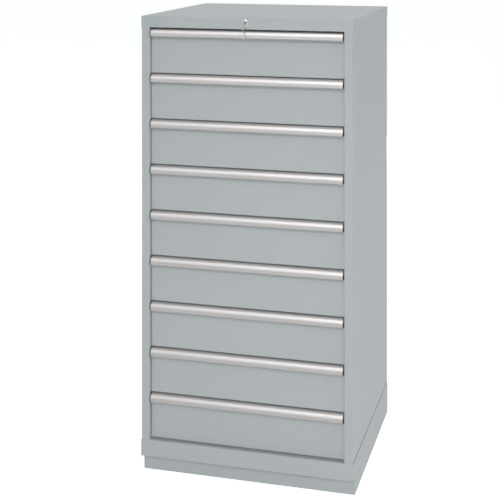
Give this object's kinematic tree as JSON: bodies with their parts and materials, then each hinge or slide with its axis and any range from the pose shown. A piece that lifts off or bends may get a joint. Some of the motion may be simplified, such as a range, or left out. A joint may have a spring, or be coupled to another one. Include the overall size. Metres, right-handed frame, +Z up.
{
  "type": "drawer cabinet",
  "caption": "Tall steel drawer cabinet with full-width aluminium pulls, full-extension roller slides, one lock for all drawers and a recessed base.",
  "frame": {"origin": "on the floor at the middle of the cabinet's width and depth", "axes": "+Z up, -Y towards the drawer fronts, +X to the right seen from the front"},
  "size_m": [0.71, 0.7426, 1.5118],
  "materials": {
    "painted_steel": "satin light grey powder coat",
    "handle_aluminium": "satin anodised extrusion",
    "black_plastic": "moulded, fine matt",
    "zinc_steel": "zinc plated",
    "badge_plastic": "blank satin plate",
    "lock_chrome": "polished nickel plate",
    "key_steel": "nickel-plated blanks"
  },
  "bodies": {
    "housing": {"right_side_panel": "painted_steel", "left_side_panel": "painted_steel", "back_panel": "painted_steel", "top_cap": "painted_steel", "bottom_panel": "painted_steel", "base_front": "painted_steel", "base_frame": "painted_steel", "runner_standards": "zinc_steel", "runner_rails": "zinc_steel", "badge_plate": "badge_plastic", "lock_body": "lock_chrome"},
    "drawer_1": {"drawer_1_body": "painted_steel", "drawer_1_handle": "handle_aluminium", "drawer_1_end_caps": "black_plastic"},
    "carriages_1": {"drawer_1_carriages": "zinc_steel"},
    "drawer_2": {"drawer_2_body": "painted_steel", "drawer_2_handle": "handle_aluminium", "drawer_2_end_caps": "black_plastic"},
    "carriages_2": {"drawer_2_carriages": "zinc_steel"},
    "drawer_3": {"drawer_3_body": "painted_steel", "drawer_3_handle": "handle_aluminium", "drawer_3_end_caps": "black_plastic"},
    "carriages_3": {"drawer_3_carriages": "zinc_steel"},
    "drawer_4": {"drawer_4_body": "painted_steel", "drawer_4_handle": "handle_aluminium", "drawer_4_end_caps": "black_plastic"},
    "carriages_4": {"drawer_4_carriages": "zinc_steel"},
    "drawer_5": {"drawer_5_body": "painted_steel", "drawer_5_handle": "handle_aluminium", "drawer_5_end_caps": "black_plastic"},
    "carriages_5": {"drawer_5_carriages": "zinc_steel"},
    "drawer_6": {"drawer_6_body": "painted_steel", "drawer_6_handle": "handle_aluminium", "drawer_6_end_caps": "black_plastic"},
    "carriages_6": {"drawer_6_carriages": "zinc_steel"},
    "drawer_7": {"drawer_7_body": "painted_steel", "drawer_7_handle": "handle_aluminium", "drawer_7_end_caps": "black_plastic"},
    "carriages_7": {"drawer_7_carriages": "zinc_steel"},
    "drawer_8": {"drawer_8_body": "painted_steel", "drawer_8_handle": "handle_aluminium", "drawer_8_end_caps": "black_plastic"},
    "carriages_8": {"drawer_8_carriages": "zinc_steel"},
    "drawer_9": {"drawer_9_body": "painted_steel", "drawer_9_handle": "handle_aluminium", "drawer_9_end_caps": "black_plastic"},
    "carriages_9": {"drawer_9_carriages": "zinc_steel"},
    "lock_bar": {"lock_bar": "zinc_steel"},
    "lock_plug": {"lock_plug": "lock_chrome"},
    "key": {"key": "key_steel"},
    "key_ring": {"key_ring": "key_steel"},
    "spare_key": {"spare_key": "key_steel"}
  },
  "joints": [
    {"name": "drawer_1_slide", "type": "slide", "parent": "housing", "child": "drawer_1", "axis": [0, -1, 0], "range_m": [0, 0.6]},
    {"name": "carriages_1_slide", "type": "slide", "parent": "housing", "child": "carriages_1", "axis": [0, -1, 0], "range_m": [0, 0.3]},
    {"name": "drawer_2_slide", "type": "slide", "parent": "housing", "child": "drawer_2", "axis": [0, -1, 0], "range_m": [0, 0.6]},
    {"name": "carriages_2_slide", "type": "slide", "parent": "housing", "child": "carriages_2", "axis": [0, -1, 0], "range_m": [0, 0.3]},
    {"name": "drawer_3_slide", "type": "slide", "parent": "housing", "child": "drawer_3", "axis": [0, -1, 0], "range_m": [0, 0.6]},
    {"name": "carriages_3_slide", "type": "slide", "parent": "housing", "child": "carriages_3", "axis": [0, -1, 0], "range_m": [0, 0.3]},
    {"name": "drawer_4_slide", "type": "slide", "parent": "housing", "child": "drawer_4", "axis": [0, -1, 0], "range_m": [0, 0.6]},
    {"name": "carriages_4_slide", "type": "slide", "parent": "housing", "child": "carriages_4", "axis": [0, -1, 0], "range_m": [0, 0.3]},
    {"name": "drawer_5_slide", "type": "slide", "parent": "housing", "child": "drawer_5", "axis": [0, -1, 0], "range_m": [0, 0.6]},
    {"name": "carriages_5_slide", "type": "slide", "parent": "housing", "child": "carriages_5", "axis": [0, -1, 0], "range_m": [0, 0.3]},
    {"name": "drawer_6_slide", "type": "slide", "parent": "housing", "child": "drawer_6", "axis": [0, -1, 0], "range_m": [0, 0.6]},
    {"name": "carriages_6_slide", "type": "slide", "parent": "housing", "child": "carriages_6", "axis": [0, -1, 0], "range_m": [0, 0.3]},
    {"name": "drawer_7_slide", "type": "slide", "parent": "housing", "child": "drawer_7", "axis": [0, -1, 0], "range_m": [0, 0.6]},
    {"name": "carriages_7_slide", "type": "slide", "parent": "housing", "child": "carriages_7", "axis": [0, -1, 0], "range_m": [0, 0.3]},
    {"name": "drawer_8_slide", "type": "slide", "parent": "housing", "child": "drawer_8", "axis": [0, -1, 0], "range_m": [0, 0.6]},
    {"name": "carriages_8_slide", "type": "slide", "parent": "housing", "child": "carriages_8", "axis": [0, -1, 0], "range_m": [0, 0.3]},
    {"name": "drawer_9_slide", "type": "slide", "parent": "housing", "child": "drawer_9", "axis": [0, -1, 0], "range_m": [0, 0.6]},
    {"name": "carriages_9_slide", "type": "slide", "parent": "housing", "child": "carriages_9", "axis": [0, -1, 0], "range_m": [0, 0.3]},
    {"name": "lock_bar_slide", "type": "slide", "parent": "housing", "child": "lock_bar", "axis": [-1, 0, 0], "range_m": [0, 0.0127]},
    {"name": "lock_turn", "type": "hinge", "parent": "housing", "child": "lock_plug", "pos_m": [0, -0.364, 1.4938], "axis": [0, 1, 0], "range_deg": [0, 90]},
    {"name": "key_pull", "type": "slide", "parent": "lock_plug", "child": "key", "axis": [0, -1, 0], "range_m": [0, 0.03]},
    {"name": "key_ring_swing", "type": "hinge", "parent": "key", "child": "key_ring", "pos_m": [0, -0.3731, 1.4938], "axis": [-1, 0, 0], "range_deg": [0, 80]},
    {"name": "spare_key_swing", "type": "hinge", "parent": "key_ring", "child": "spare_key", "pos_m": [0, -0.3731, 1.4761], "axis": [-1, 0, 0], "range_deg": [0, 60]}
  ],
  "couplings": [
    {"joint": "carriages_1_slide", "follows": "drawer_1_slide", "ratio": 0.5},
    {"joint": "carriages_2_slide", "follows": "drawer_2_slide", "ratio": 0.5},
    {"joint": "carriages_3_slide", "follows": "drawer_3_slide", "ratio": 0.5},
    {"joint": "carriages_4_slide", "follows": "drawer_4_slide", "ratio": 0.5},
    {"joint": "carriages_5_slide", "follows": "drawer_5_slide", "ratio": 0.5},
    {"joint": "carriages_6_slide", "follows": "drawer_6_slide", "ratio": 0.5},
    {"joint": "carriages_7_slide", "follows": "drawer_7_slide", "ratio": 0.5},
    {"joint": "carriages_8_slide", "follows": "drawer_8_slide", "ratio": 0.5},
    {"joint": "carriages_9_slide", "follows": "drawer_9_slide", "ratio": 0.5},
    {"joint": "lock_turn", "follows": "lock_bar_slide", "rad_per_m": 123.41}
  ]
}
